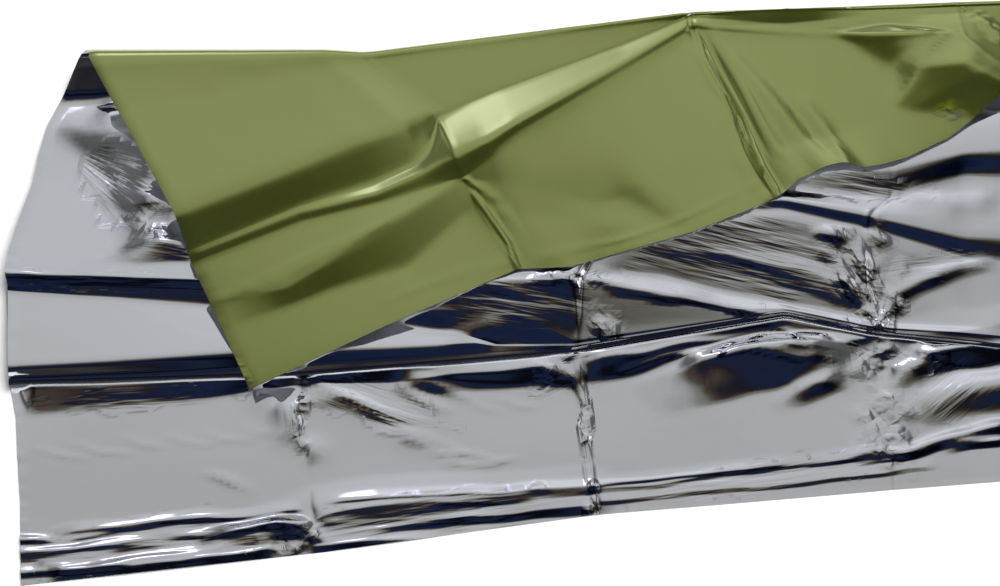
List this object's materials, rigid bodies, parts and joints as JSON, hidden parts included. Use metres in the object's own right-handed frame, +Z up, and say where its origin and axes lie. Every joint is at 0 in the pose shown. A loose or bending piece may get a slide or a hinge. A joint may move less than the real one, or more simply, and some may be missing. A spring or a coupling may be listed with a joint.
{
  "type": "emergency foil blanket",
  "caption": "Rectangular sheet of thin metallised film, silver one side and olive the other, laid out with its back corner folded over in a long pointed flap.",
  "frame": {"origin": "on the floor under the middle of the sheet's outline", "axes": "+X along the sheet's length, from the end with the folded flap to the plain end; +Y from the front edge to the folded back edge; +Z up"},
  "size_m": [2.1542, 0.6193, 0.0486],
  "materials": {
    "metallised_film": "mirror-bright silver film, satin olive on the other side"
  },
  "bodies": {
    "root": {"blanket_sheet": "metallised_film"}
  },
  "joints": []
}
